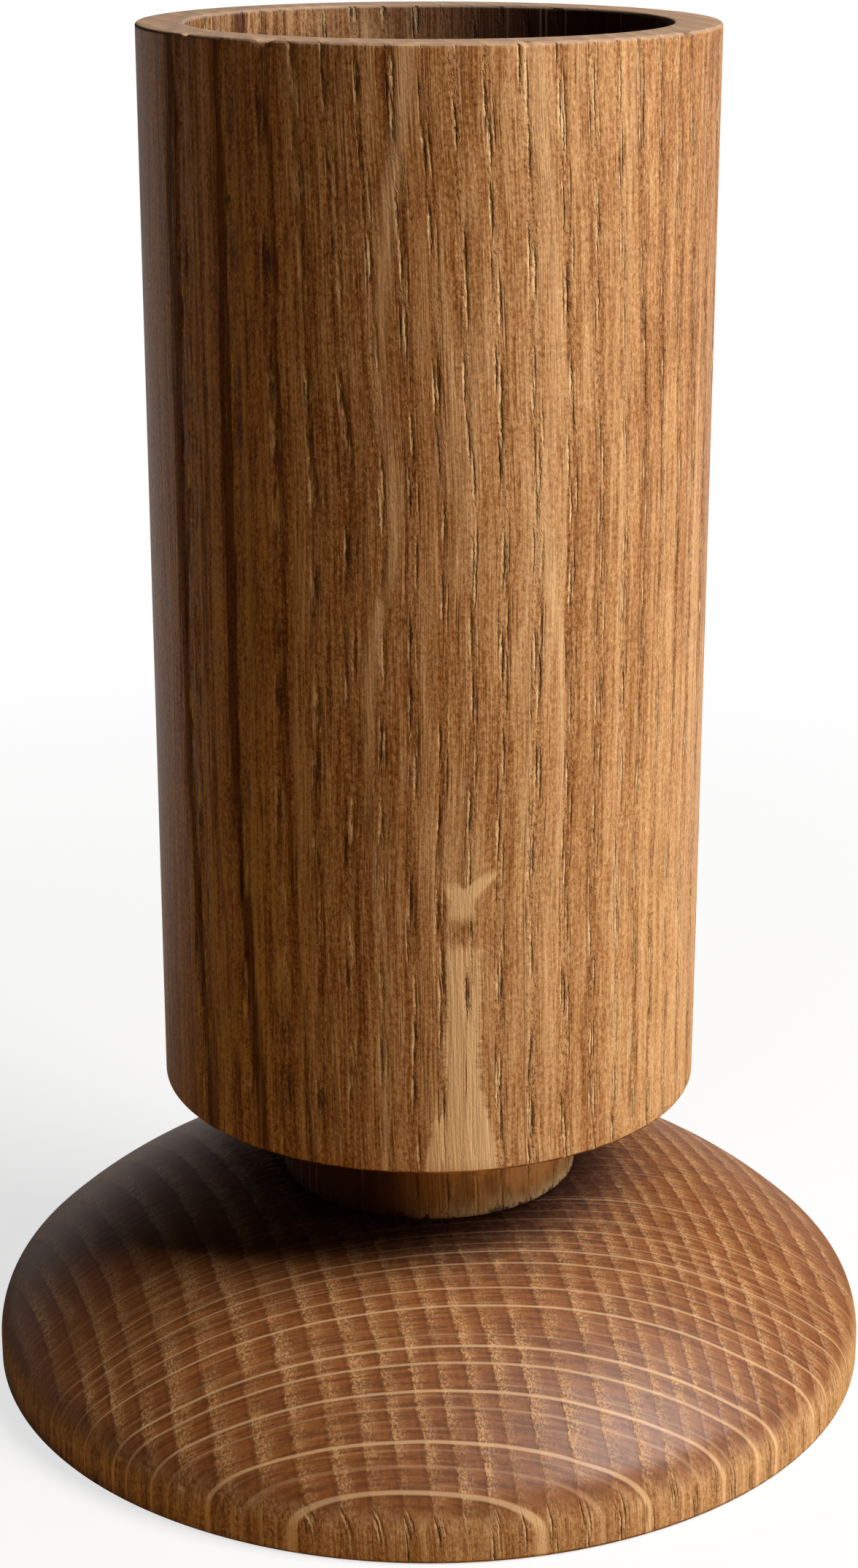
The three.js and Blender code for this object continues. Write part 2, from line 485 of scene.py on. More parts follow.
# %% The oak blank
RING_HEART = (-250.0, -86.0)
RING_FROM = 265.0
RING_START = 0.78
RING_WIDTH = 2.97
RING_WAVES = ((0.39, 70.0, -1.72), (0.31, 35.0, 2.49), (0.07, 20.0, 1.74))
GRAIN_UPRIGHT = 79.5
GRAIN_LEAN = -0.02
GRAIN_WAVES = ((0.58, 110.0, 1.86), (0.1, 27.0, 2.0))
GRAIN_STRAIGHTENS = (-26.0, -4.0)
PORES_START, PORES_END = (0.0, 0.06), (0.2, 0.42)


def on_wires(operation, formula):
    """A function that sends wires to a node and numbers to a formula."""
    return lambda value: value.nodes.math(operation, value) if isinstance(value, Wire) else formula(value)


sine, root = on_wires("SINE", np.sin), on_wires("SQRT", np.sqrt)


def waves(value, terms):
    """Sum of sine waves, each given as (size, length, start)."""
    return sum(size * sine(2 * math.pi / length * value + start) for size, length, start in terms)


def smooth_step(value, low, high):
    """0 below low, 1 above high, and an S-shaped curve between."""
    if isinstance(value, Wire):
        return value.nodes.fade(value, low, high)
    share = np.clip((value - low) / (high - low), 0, 1)
    return share * share * (3 - 2 * share)


def distance(x, y, centre):
    """Distance of (x, y) from a centre: the root of the sum of the squares."""
    east, north = x - centre[0], y - centre[1]
    return root(east * east + north * north)


def grain_shift(x, z):
    """How far right the grain has moved at height z: a slight lean and slow waves, not on the left."""
    return (GRAIN_LEAN * (z - GRAIN_UPRIGHT) + waves(z, GRAIN_WAVES)) * smooth_step(x, *GRAIN_STRAIGHTENS)


def ring_reach(across, y):
    """Distance from the centre that the rings bend round, less the distance of the first of them."""
    return distance(across, y, RING_HEART) - RING_FROM


def ring_number(reach):
    """The reach over the ring width, plus waves that make some rings wide and others narrow."""
    return RING_START + reach / RING_WIDTH + waves(reach, RING_WAVES)


def pore_zone(x, y, z):
    """1 in the open-pored start of each growth ring and 0 in the dense rest of it."""
    phase = np.mod(ring_number(ring_reach(x - grain_shift(x, z), y)), 1.0)
    return smooth_step(phase, *PORES_START) * (1 - smooth_step(phase, *PORES_END))


print("rings across the cup:", round(2 * CUP_RADIUS / MM / RING_WIDTH))

# %% [markdown]
# The oak finish is a solid texture: it is worked out from the place in the blank, so the rings and rays run
# through each piece as they do in wood. First come the places: where in its ring a point lies, where across
# the rays it lies, and whether the surface there cuts the grain across or along.

# %% Places in the blank
END_GRAIN_SLOPES = (0.05, 0.55)
RAY_HEART = (-157.0, -44.0)
RAY_RADIUS = 157.0
RAY_SWAY = 0.6
PORE_ROWS, PORE_SLANT, PORE_LENGTH = 5.0, 1.5, 9.0
PORE_WANDER, PORE_SHADE = 0.5, 0.36


class Blank(Finish):
    """A finish that knows the places in the blank: millimetres, ring number and place across the rays."""

    def __init__(self, name):
        super().__init__(name)
        point = self.add("ShaderNodeTexCoord", {}, output="Object")
        self.mm = self.add("ShaderNodeVectorMath", {0: point, "Scale": 1 / MM}, operation="SCALE")
        self.x, self.y, self.z = self.split(self.mm)
        self.from_axis = distance(self.x, self.y, (0.0, 0.0))
        facing = self.split(self.add("ShaderNodeTexCoord", {}, output="Normal"))
        self.end_grain = self.fade(abs(facing[2]), *END_GRAIN_SLOPES)
        self.long_grain = 1.0 - self.end_grain
        self.across = self.x - grain_shift(self.x, self.z)
        self.grain = self.join(self.across, self.y, self.z)
        self.reach = ring_reach(self.across, self.y)
        self.ring = ring_number(self.reach)
        self.place_rays()
        self.place_pores()

    def place_rays(self):
        """Millimetres across the rays: the bearing from their heart times a radius, with a slight sway."""
        east, north = self.across - RAY_HEART[0], self.y - RAY_HEART[1]
        bearing = self.math("ARCTAN2", north, east) * RAY_RADIUS
        sway = self.noise(self.join(0.05 * self.x, 0.0, 0.03 * self.z))
        self.ray_place = bearing + self.wobble(sway, RAY_SWAY)

    def place_pores(self):
        """Rows of long cells, slanted across rays and rings, and the same rows a little to one side, for the
        painted shade beside them.
        """
        wander = self.wobble(self.along(3.0, 1.6), PORE_WANDER)
        slant = self.ray_place * PORE_SLANT + self.ring * PORE_ROWS + wander
        level = self.z / PORE_LENGTH
        self.rows = self.join(slant, level, 0.0)
        self.shaded_rows = self.join(slant - PORE_SHADE, level, 0.0)

    def along(self, wide, long, **settings):
        """Noise drawn out along the grain, with so many bumps to the millimetre across it and along it."""
        return self.noise(self.stretch(self.grain, (wide, wide, long)), **settings)


print("rays spread from", RAY_HEART)

# %% [markdown]
# Rays are thin upright sheets that all point at the heart. The dome cuts them across, so there they are fine
# pale lines. The front of the cup lies along them, so there they are broad pale patches: two long ribbons,
# where the wall cuts one wavy sheet twice, and a column with a fork above it, where the wall only grazes one.

# %% Rays
THIN_RAY_SPACING = 1.3
RAY_CORE, RAY_EDGE = 0.5, 1.3


def thin_rays(f):
    """Fine rays at random places, each of which comes and goes along its sheet."""
    node = f.tree.nodes.new("ShaderNodeTexVoronoi")
    node.voronoi_dimensions = "1D"
    node.inputs["Scale"].default_value = 1.0
    f.feed(node.inputs["W"], f.ray_place / THIN_RAY_SPACING)
    own = 9.7 * Wire(f, node.outputs["W"])
    kept = f.noise(f.join(own, 0.05 * f.z, 0.04 * f.reach))
    line = f.fade(node.outputs["Distance"], 0.03, 0.1, 1.0, 0.0)
    return line * f.fade(kept, 0.42, 0.62)


def below_wall(f, bearing, radius):
    """Sideways place and depth under the wall, for a wall of this radius seen square on at this bearing."""
    turn_x, turn_y = math.sin(math.radians(bearing)), math.cos(math.radians(bearing))
    side = f.x * turn_y + f.y * turn_x
    ahead = f.x * turn_x - f.y * turn_y
    return side, radius - ahead


RIBBON_BEARING = 7.6
RIBBON_THICKNESS, RIBBON_RAGGED = 0.3, 0.16
RIBBON_FADES = (60.0, 95.0)
RIBBON_TOP, RIBBON_BOTTOM, RIBBON_DEEPEST = 150.0, 30.0, 2.0
RIBBON_DEPTHS = ((150, 0.62), (142, 0.77), (130, 1.12), (116, 1.23), (108, 0.93), (102, 0.95), (94, 1.41),
                 (86, 1.62), (74, 1.63), (66, 1.38), (58, 1.23), (50, 1.23), (30, 1.3))


def ribbons(f, radius):
    """A wavy sheet whose depth under the wall changes with the height, pale where the wall passes through."""
    side, depth = below_wall(f, RIBBON_BEARING, radius)
    span = RIBBON_TOP - RIBBON_BOTTOM
    height = (f.z - RIBBON_BOTTOM) / span
    points = sorted(((z - RIBBON_BOTTOM) / span, deep / RIBBON_DEEPEST) for z, deep in RIBBON_DEPTHS)
    sheet = f.curve(height, points) * RIBBON_DEEPEST
    ragged = f.wobble(f.noise(f.stretch(f.mm, (1.5, 1.5, 0.25))), RIBBON_RAGGED)
    off = abs(depth - sheet - ragged)
    faint = f.fade(f.noise(f.join(0.08 * side, 0.0, 0.035 * f.z)), 0.3, 0.62, 0.4, 1.0)
    low = f.fade(f.z, *RIBBON_FADES, 0.5, 1.0)
    share = off / (low * RIBBON_THICKNESS)
    return f.fade(share, 0.0, 1.1, 0.6, 0.0) * faint * low


FLECK_BEARING = 6.5
COLUMN_TOP, COLUMN_FLARE, COLUMN_FOOT = 60.8, 46.0, 34.4
COLUMN_DEPTH, COLUMN_FOOT_DEPTH = 0.07, 0.25
COLUMN_RAGGED, COLUMN_NICKED, COLUMN_TOP_RAGGED = 0.1, 0.06, 4.0
COLUMN_SEAMS = ((0.3, 0.3, 0.62), (-1.25, 0.15, 0.8))
FORK_FOOT, FORK_JOIN = 62.6, 65.0
FORK_MIDDLE, FORK_TOPS, FORK_SLOPES = (-0.3, 0.3), (67.7, 68.6), (0.65, 1.05)
FORK_ARMS, FORK_DEPTHS = (1.25, 0.8), (0.3, 0.5)
SOFT_END = 1.6


def fleck_column(f, side, depth):
    """Where the wall grazes a sheet: wider towards the foot, parted by thin seams, its edges nicked."""
    ragged = f.wobble(f.noise(f.join(0.5 * side, 0.0, 1.1 * f.z)), COLUMN_RAGGED)
    nicked = f.wobble(f.noise(f.join(side, 7.0, 4.0 * f.z)), COLUMN_NICKED)
    reach = f.fade(f.z, COLUMN_FOOT, COLUMN_FLARE, COLUMN_FOOT_DEPTH, COLUMN_DEPTH)
    inside = reach + ragged + nicked - depth
    top = f.wobble(f.noise(f.join(0.9 * side, 3.0, 0.2 * f.z)), COLUMN_TOP_RAGGED)
    below_top = f.fade(f.z + top, COLUMN_TOP - SOFT_END, COLUMN_TOP, 1.0, 0.0)
    column = f.fade(inside, -0.02, 0.04) * below_top * f.fade(side, -0.2, 0.7, 0.88, 1.0)
    for centre, half, strength in COLUMN_SEAMS:
        column = column * f.fade(abs(side - centre), 0.2 * half, half, strength, 1.0)
    return column


def fleck_fork(f, side, depth):
    """Two arms that part above FORK_JOIN, each with its own slope and tip, and narrow upwards."""
    slope = f.fade(side, *FORK_MIDDLE, *FORK_SLOPES)
    tip = f.fade(side, *FORK_MIDDLE, *FORK_TOPS)
    spread = f.largest(f.z - FORK_JOIN, 0.0) * slope
    arm = abs(abs(side) - spread)
    width = f.fade(f.z, FORK_JOIN, FORK_TOPS[1], *FORK_ARMS)
    arms = f.fade(arm - width, -0.35, 0.3, 1.0, 0.0)
    above_foot = f.fade(f.z, FORK_FOOT - 0.6, FORK_FOOT + 1.2)
    below_tip = f.fade(f.z - tip, -SOFT_END, 0.0, 1.0, 0.0)
    return arms * above_foot * below_tip * f.fade(depth, *FORK_DEPTHS, 0.95, 0.0)


def front_fleck(f, radius):
    """The column low on the front of the wall, and the fork above a gap."""
    side, depth = below_wall(f, FLECK_BEARING, radius)
    return f.largest(fleck_column(f, side, depth), fleck_fork(f, side, depth))


print("ribbons at", len(RIBBON_DEPTHS), "heights, column up to", COLUMN_TOP, "mm")

# %% [markdown]
# Oil darkens wood unevenly. It sinks into rough places: the bore, which nobody sands, the blotchy neck under
# the cup, and the torn end grain where the dome meets the neck. Part of the darkening is painted shade: the
# bore grows darker to the right, the cup's underside is dark, the neck is dark on its left, and the ring
# round the neck's foot is partly painted shade under the cup. The neck's own foot is torn too, into pale
# fibres and dark notches, and the rim is greyed, partly by handling and partly by a painted sheen. On the
# left of the blank a few bands of dark red heartwood run up the grain. Each of these is a small function that
# says how strong it is at a place.

# %% Stains and painted shade
DARK_BANDS = ((-25.4, 0.7, 0.7), (-22.6, 0.4, 0.5), (-20.0, 0.8, 0.8), (-17.6, 0.25, 0.45),
              (-14.6, 0.35, 0.6), (-11.6, 0.25, 0.45), (-6.5, 0.2, 0.3), (-2.3, 0.3, 0.3))
BAND_CORE, BAND_EDGE = 0.2, 1.2
BANDS_DRIFT, BANDS_LOW_DRIFT, BANDS_WAVER = (36.0, 85.0), 2.0, 3.2


def dark_bands(f):
    """Upright bands that waver along the grain and drift to the right lower down."""
    waver = f.wobble(f.along(0.9, 0.04, detail=3.0, roughness=0.8), BANDS_WAVER)
    drift = f.fade(f.z, *BANDS_DRIFT, BANDS_LOW_DRIFT, 0.0)
    return f.stripes(f.across - drift + waver, DARK_BANDS, BAND_CORE, BAND_EDGE)


# The bore darkens from a stain on the left to painted shade on the right, and the cup's underside is painted
# shade.
BORE_SOFT, BORE_DARKENS, BORE_STAIN_AND_SHADE = 0.5, (-14.0, 12.0), (0.4, 0.97)
UNDERSIDE_SOFT, UNDERSIDE_PAINTED_SHADE = 0.15, 0.85


def bore_stain_and_painted_shade(f):
    """Dark inside the bore and under the cup, and none on the rim or the wall. In the bore it is a stain on
    the left that rises to painted shade on the right, and under the cup it is painted shade.
    """
    bore = f.fade(f.from_axis, BORE_RADIUS / MM, BORE_RADIUS / MM + BORE_SOFT, 1.0, 0.0)
    # painted shade: the bore grows darker towards the right
    depth = f.fade(f.x, *BORE_DARKENS, *BORE_STAIN_AND_SHADE)
    # painted shade under the cup
    underside = f.fade(f.z, CUP_FOOT / MM, CUP_FOOT / MM + UNDERSIDE_SOFT, UNDERSIDE_PAINTED_SHADE, 0.0)
    return f.largest(bore * depth, underside)


RIM_SOFT, RIM_WEAR_AND_SHEEN = (-0.5, -0.1), 0.47


def rim_wear_and_painted_sheen(f):
    """Greys the flat rim, and a little less its edges: partly wear from handling, partly a painted sheen."""
    # wear and painted sheen on the rim
    return f.fade(f.z, CUP_RIM / MM + RIM_SOFT[0], CUP_RIM / MM + RIM_SOFT[1], 0.0, RIM_WEAR_AND_SHEEN)


NECK_PAINTED_SHADE_LEFT, NECK_FUZZ_RIGHT = (-7.0, 7.0), (-4.0, 6.0)
FUZZ_HEIGHT, FUZZ_RAGGED = 2.5, 4.0
NOTCH_HEIGHT, NOTCH_RAGGED, NOTCH_FROM = 1.0, 7.0, -3.2


def neck_oil(f):
    """Oil drawn up from the end grain warms the whole neck, unevenly."""
    return f.fade(f.along(0.3, 0.2), 0.3, 0.7, 0.35, 0.65)


def neck_blotches_and_painted_shade(f):
    """Blotches drawn out along the grain, and painted shade that darkens the left side."""
    blotch = f.fade(f.along(0.5, 0.16, detail=3.0), 0.4, 0.54, 0.45, 0.0)
    # painted shade on the neck's left
    return f.largest(blotch, f.fade(f.x, *NECK_PAINTED_SHADE_LEFT, 0.98, 0.0))


def neck_fuzz(f):
    """Pale torn fibres along the neck's foot, to a height that noise makes ragged."""
    ragged = f.wobble(f.along(1.5, 0.4, detail=3.0, roughness=0.7), FUZZ_RAGGED)
    up = f.z - NECK_FOOT / MM
    return f.fade(f.x, *NECK_FUZZ_RIGHT) * f.fade(up + ragged, 0.0, FUZZ_HEIGHT, 0.9, 0.0)


def neck_notches(f):
    """Dark torn notches that break the neck's foot line, up to a height that noise makes ragged."""
    ragged = NOTCH_RAGGED * f.along(0.9, 0.5, detail=3.0, roughness=0.8) + NOTCH_FROM
    up = f.z - NECK_FOOT / MM
    return f.fade(up + ragged, 0.0, NOTCH_HEIGHT, 0.9, 0.0)


# The reach on the left also sets how far the painted shade under the cup goes.
TORN_REACH, TORN_WIDENS, TORN_RAGGED = (12.0, 16.0), (-8.0, 10.0), 1.2


def torn_stain_and_painted_shade(f):
    """A ragged dark ring round the neck's foot, widest on the right, broken up by noise. It is partly torn
    end grain and partly painted shade under the cup, most of all on the left.
    """
    out = f.from_axis - NECK_RADIUS / MM
    share = out / f.fade(f.x, *TORN_WIDENS, *TORN_REACH)
    ragged = f.wobble(f.along(1.1, 0.3, detail=3.0, roughness=0.7), TORN_RAGGED)
    return f.fade(share + ragged, 0.0, 0.9, 0.92, 0.0)


print("dark bands at", [place for place, half, strength in DARK_BANDS], "mm")

# %% [markdown]
# Each growth ring starts with open pores and ends dense. On the dome the pored start is a pale band with a
# ragged outer edge, because the pores thin out unevenly. Noise on the ring's whole number makes rings
# differ, as good and poor years do.

# %% Growth rings
class Growth:
    """Place in the ring from 0 to 1, its pored start, the end grain's pale band, the dark line at its end and
    a tone for each ring."""

    def __init__(self, f):
        number = f.math("FLOOR", f.ring)
        self.fine = f.along(2.4, 0.08)
        jag = f.wobble(f.along(0.5, 0.03), 0.3) + f.wobble(self.fine, 0.3)
        self.phase = f.math("FRACT", f.ring)
        thinning = f.fade(self.phase + 0.8 * jag, 0.22, 0.44, 1.0, 0.0)
        self.pored = f.fade(self.phase, 0.0, 0.05) * thinning
        self.jagged = f.math("FRACT", f.ring + 0.7 * jag)
        broad = f.wobble(f.noise(f.join(5.71 * number, 0.06 * f.y, 2.0)), 0.5)
        vary = f.fade(f.noise(f.stretch(f.grain, (0.3, 0.16, 0.05))), 0.34, 0.62, 0.35, 1.0)
        pale_end = f.fade(self.jagged + broad, 0.12, 0.75, 1.0, 0.0)
        self.pale = f.fade(self.jagged, 0.0, 0.09) * pale_end * vary
        self.tone = f.noise(f.join(3.37 * number, 0.0, 0.006 * f.z))
        lined = f.noise(f.join(7.13 * number, 5.0, 0.008 * f.z))
        self.line = f.fade(self.phase, 0.92, 0.985) * f.fade(lined, 0.5, 0.66)


print("each ring is shaded by its number")

# %% [markdown]
# Long pores are cells stretched far along the grain. Cut along, on the cup, they are grooves with a pale
# line, partly dust and finish in the pore and partly a painted highlight, beside a painted shaded side that
# is strongest on the left, and small pits lie between them. Cut across, on the dome, they are pale and dark
# mouths in the pale band of each ring. Rays have no pores.

# %% Pores
PORE_EDGE = (0.1, 0.36)


class Pores:
    """Shares from 0 to 1: hollows, painted partly as a highlight, their painted shaded sides and pits in long
    grain, and mouths in end grain.
    """

    def __init__(self, f, growth, ray):
        self.clear = 1.0 - 0.9 * ray
        open_wood = growth.pored * f.long_grain * self.clear
        self.hollow = f.fade(f.cells(f.rows, "2D"), *PORE_EDGE, 1.0, 0.0) * open_wood
        # painted shade: the hollows' cells moved a little to one side
        self.shade = f.fade(f.cells(f.shaded_rows, "2D"), *PORE_EDGE, 1.0, 0.0) * open_wood
        broken = f.along(1.6, 0.38)
        self.filled = f.fade(broken, 0.42, 0.56, 0.15, 1.0)
        self.opened = f.fade(broken, 0.44, 0.6, 1.0, 0.35)
        self.torn = f.along(3.6, 1.8)
        self.pits = f.fade(self.torn, 0.34, 0.44, 1.0, 0.0) * open_wood
        self.stipple = f.along(4.2, 0.15, roughness=0.6)
        self.mouths = growth.pale * f.end_grain * (1.0 - 0.8 * ray)


print("pores are", PORE_LENGTH, "mm long")

# %% [markdown]
# Fibres and streaks are noise stretched along the grain, from clouds as wide as the cup down to flecks of a
# third of a millimetre. Their sum, centred on zero, makes the wood lighter and darker.

# %% Fibres
class Fibres:
    """Fibres, flecks and thin dark lines of the long grain, and grainy, the sum of its noises."""

    def __init__(self, f, growth, ray):
        narrow = f.cells(f.stretch(f.grain, (3.4, 3.4, 0.08)))
        patch = f.fade(f.along(0.45, 0.02), 0.4, 0.66)
        thin = f.fade(narrow, 0.08, 0.28, 1.0, 0.0)
        self.line = thin * patch * f.long_grain * (1.0 - ray)
        self.fibre = f.along(1.3, 0.06, roughness=1.0)
        self.speck = f.along(3.2, 1.9, detail=1.0, roughness=1.0)
        self.rust = f.along(0.4, 0.009)
        streak = f.along(0.75, 0.011, detail=3.0, roughness=0.6)
        cloud = f.along(0.07, 0.015)
        sanding = f.noise(f.stretch(f.mm, (0.1, 0.1, 3.4)), detail=1.0)
        noises = ((streak, 0.7), (self.fibre, 1.1), (growth.tone, 0.25), (cloud, 0.1), (sanding, 0.12),
                  (self.speck, 0.95))
        self.grainy = sum(f.wobble(noise, size) for noise, size in noises)


print("fibres run up the grain")

# %% [markdown]
# Long grain runs from brown to honey with the sum of its fibres, and it is bolder and rustier on the left,
# where the heartwood is. End grain drinks more oil, so it is darker, with a pale band in each ring and a
# dark line at the ring's end.

# %% Colours of the oak
LONG_TONES = ((0.0, paint(92, 46, 20)), (0.34, paint(164, 112, 66)), (0.62, paint(205, 156, 106)),
              (1.0, paint(238, 198, 148)))
END_DEEP, END_DARK, END_PALE = paint(80, 38, 14), paint(144, 86, 42), paint(188, 132, 79)
RAY_PALE = paint(246, 205, 154)
# The dark colour also paints the pores' shaded sides, and the pale one partly paints a highlight in them.
PORE_DARK_AND_SHADE, PORE_PALE_AND_HIGHLIGHT = paint(70, 33, 12), paint(250, 212, 158)
# The stain brown also paints shade, and the worn grey partly paints a sheen.
RUST_BROWN, STAIN_AND_SHADE_BROWN, WORN_AND_SHEEN_GREY = paint(164, 101, 34), paint(58, 24, 9), paint(206, 182, 158)
BAND_RED, FUZZ_PALE, OIL_ORANGE = paint(74, 26, 9), paint(255, 216, 164), paint(255, 176, 92)
BOLD_LEFT, PALE_LEFT, RUSTY_LEFT = (-24.0, 14.0), (-24.0, -2.0), (-4.0, 12.0)
# Where the right of the cup is painted lighter near the foot and darker near the rim.
PAINTED_FALLOFF_RIGHT, PAINTED_FALLOFF_HEIGHTS = (12.0, 26.0), (45.0, 140.0)


def long_grain_tone(f, growth, fibres, paleness):
    """Colour of wood cut along the grain. On the right it is paler near the foot and darker near the rim:
    painted light and painted shade that even out the lamp's falloff.
    """
    bolder = fibres.grainy * f.fade(f.x, *BOLD_LEFT, 1.95, 0.95)
    # painted light low on the right, painted shade high on the right
    painted_falloff = f.fade(f.x, *PAINTED_FALLOFF_RIGHT) * f.fade(f.z, *PAINTED_FALLOFF_HEIGHTS, 0.08, -0.15)
    value = f.fade(f.x, *PALE_LEFT, paleness + 0.05, paleness) + painted_falloff + bolder
    tone = f.ramp(value - f.fade(growth.phase, 0.03, 0.7, 0.06, 0.0), LONG_TONES)
    rusty = f.fade(fibres.rust, 0.5, 0.72, 0.3, 0.55) * f.fade(f.x, *RUSTY_LEFT, 1.0, 0.16)
    return f.mix(rusty, tone, RUST_BROWN)


def end_grain_tone(f, growth, pores, fibres):
    """Colour of wood cut across the grain: pale bands, mottled by hairlines that follow the rays."""
    tone = f.mix(growth.pale * f.fade(pores.stipple, 0.34, 0.62, 0.55, 0.95), END_DARK, END_PALE)
    hair = f.noise(f.join(3.2 * f.ray_place, 0.22 * f.reach, 0.1 * f.z))
    mottle = 0.6 * hair + 0.2 * growth.fine + 0.2 * fibres.speck
    tone = f.mix(f.fade(mottle, 0.4, 0.58, 0.55, 0.0), tone, END_DEEP)
    edge = f.fade(growth.jagged, 0.86, 0.97) * f.fade(growth.jagged, 0.99, 1.0, 1.0, 0.0)
    return f.mix(0.35 * edge, tone, END_DEEP)


print("long grain runs through", len(LONG_TONES), "tones")

# %% [markdown]
# The finish lays these parts over each other: the tones of the wood, lines and pores with their painted
# highlight and painted shade, the stain and painted shade layers, and the pale rays last. Gloss and a
# shallow bump come from the same parts: pores, pits and lines are hollow, mouths stand a little proud, and
# stained places, and those with painted shade and sheen, are rougher.

# %% Oak finish
LINES_LEFT, SHADED_LEFT = (-22.0, 2.0), (0.0, 22.0)
THIN_RAY_STRENGTH = 0.22
ROUGHNESS = 0.4
HOLLOW_DEPTH, PIT_DEPTH, LINE_DEPTH, MOUTH_HEIGHT = -0.2, -0.06, -0.05, 0.08


def oak(name, rays, figure=(), stains_and_shade=(), grooved=False, gloss=0.2, paleness=0.55):
    """Oiled oak. rays lists the broad rays, figure the functions that add flecks to the cup's wall and stains
    the functions that stain it and paint shade and sheen on it, each with its colour. grooved reads the
    grooves of the mesh."""
    f = Blank(name)
    growth = Growth(f)
    flecks = [fleck(f, CUP_RADIUS / MM) for fleck in figure]
    broad_rays = f.stripes(f.ray_place, rays, RAY_CORE, RAY_EDGE)
    ray = f.largest(broad_rays, thin_rays(f) * THIN_RAY_STRENGTH, *flecks)
    pores = Pores(f, growth, ray)
    fibres = Fibres(f, growth, ray)

    long_tone = long_grain_tone(f, growth, fibres, paleness)
    ring_line = growth.line * f.long_grain * pores.clear
    long_tone = f.mix(0.55 * ring_line, long_tone, PORE_DARK_AND_SHADE)
    tone = f.mix(f.end_grain, long_tone, end_grain_tone(f, growth, pores, fibres))
    # real stains and wear, and painted shade and sheen, each with its colour
    stained_and_shaded = [(tint(f), colour) for tint, colour in stains_and_shade]
    layers = [
        (fibres.line * f.fade(f.x, *LINES_LEFT, 0.75, 0.42), PORE_DARK_AND_SHADE),
        (0.3 * pores.pits, PORE_DARK_AND_SHADE),
        # painted shade on one side of each pore, strongest on the left
        (pores.shade * pores.opened * f.fade(f.x, *SHADED_LEFT, 0.85, 0.32), PORE_DARK_AND_SHADE),
        # pale pores: partly dust and finish, partly a painted highlight
        (0.95 * pores.hollow * pores.filled, PORE_PALE_AND_HIGHLIGHT),
        (pores.mouths * f.fade(pores.stipple, 0.5, 0.62, 0.0, 0.3), PORE_PALE_AND_HIGHLIGHT),
        (pores.mouths * f.fade(pores.stipple, 0.34, 0.46, 0.25, 0.0), PORE_DARK_AND_SHADE),
        *stained_and_shaded,
        (ray * (0.9 - 0.38 * f.end_grain), RAY_PALE),
    ]
    if grooved:
        groove = f.add("ShaderNodeAttribute", {}, output="Fac", attribute_name="groove")
        layers.append((groove * f.fade(pores.torn, 0.35, 0.6, 0.3, 0.0), PORE_DARK_AND_SHADE))
    for share, colour in layers:
        tone = f.mix(share, tone, colour)

    # rougher where the wood is stained and where shade or sheen is painted
    stain_and_shade_roughness = 0.35 * f.largest(0.0, *(share for share, colour in stained_and_shaded))
    rough = ROUGHNESS + 0.2 * pores.hollow + 0.14 * fibres.fibre + stain_and_shade_roughness
    fuzz = (0.12 * fibres.fibre + 0.035 * fibres.speck) * f.long_grain
    mouths = pores.mouths * pores.stipple * MOUTH_HEIGHT
    height = pores.hollow * HOLLOW_DEPTH + pores.pits * PIT_DEPTH + mouths + fibres.line * LINE_DEPTH + fuzz
    bump = f.add("ShaderNodeBump", {"Height": height, "Strength": 1.0, "Distance": MM})
    print(f"{name}: {len(f.tree.nodes)} nodes, {len(rays)} broad rays")
    return f.coat({"Base Color": tone, "Roughness": rough, "Specular IOR Level": gloss, "Normal": bump})


# %% [markdown]
# The base is a dome: one large arc falls from the neck's foot and runs without a kink into a tight arc at
# the edge, above a short upright rim. The large arc's centre is a dome radius from the neck's foot and a
# dome radius less an edge radius from the tight arc's centre, where two circles cross. Underneath, a
# shallow dish leaves a standing ring, and on top a mortise takes the neck's tenon. Where the tool met the
# neck it tore the end grain, so small nicks are pressed into the dome there.

# %% Base
DOME_RADIUS = 52.2 * MM
EDGE_RADIUS = 7.0 * MM
BASE_ARRIS = 0.5 * MM
BASE_COLUMNS = 640
NICK_DEPTH = 0.16 * MM
NICK_SEED = 5
BASE_GLOSS = 0.45
BASE_RAYS = ((-4.4, 0.17, 0.95), (-2.4, 0.12, 0.3), (-0.4, 0.16, 0.95), (2.65, 0.12, 0.35), (4.2, 0.15, 0.9),
             (7.0, 0.14, 0.8), (8.8, 0.15, 0.9), (10.1, 0.1, 0.3), (13.5, 0.14, 0.85), (15.8, 0.12, 0.65),
             (17.5, 0.1, 0.3), (19.2, 0.13, 0.6), (21.0, 0.13, 0.65), (22.3, 0.1, 0.3), (24.2, 0.12, 0.45),
             (26.2, 0.1, 0.35), (29.8, 0.12, 0.4))


def dome_centre(foot, edge_centre):
    """The lower crossing of a circle round the neck's foot and one round the edge arc's centre."""
    chord = edge_centre - foot
    length = np.linalg.norm(chord)
    near, far = DOME_RADIUS, DOME_RADIUS - EDGE_RADIUS
    along = (near**2 - far**2 + length**2) / (2 * length)
    below = math.sqrt(near**2 - along**2)
    direction = chord / length
    return foot + along * direction + below * np.array([direction[1], -direction[0]])


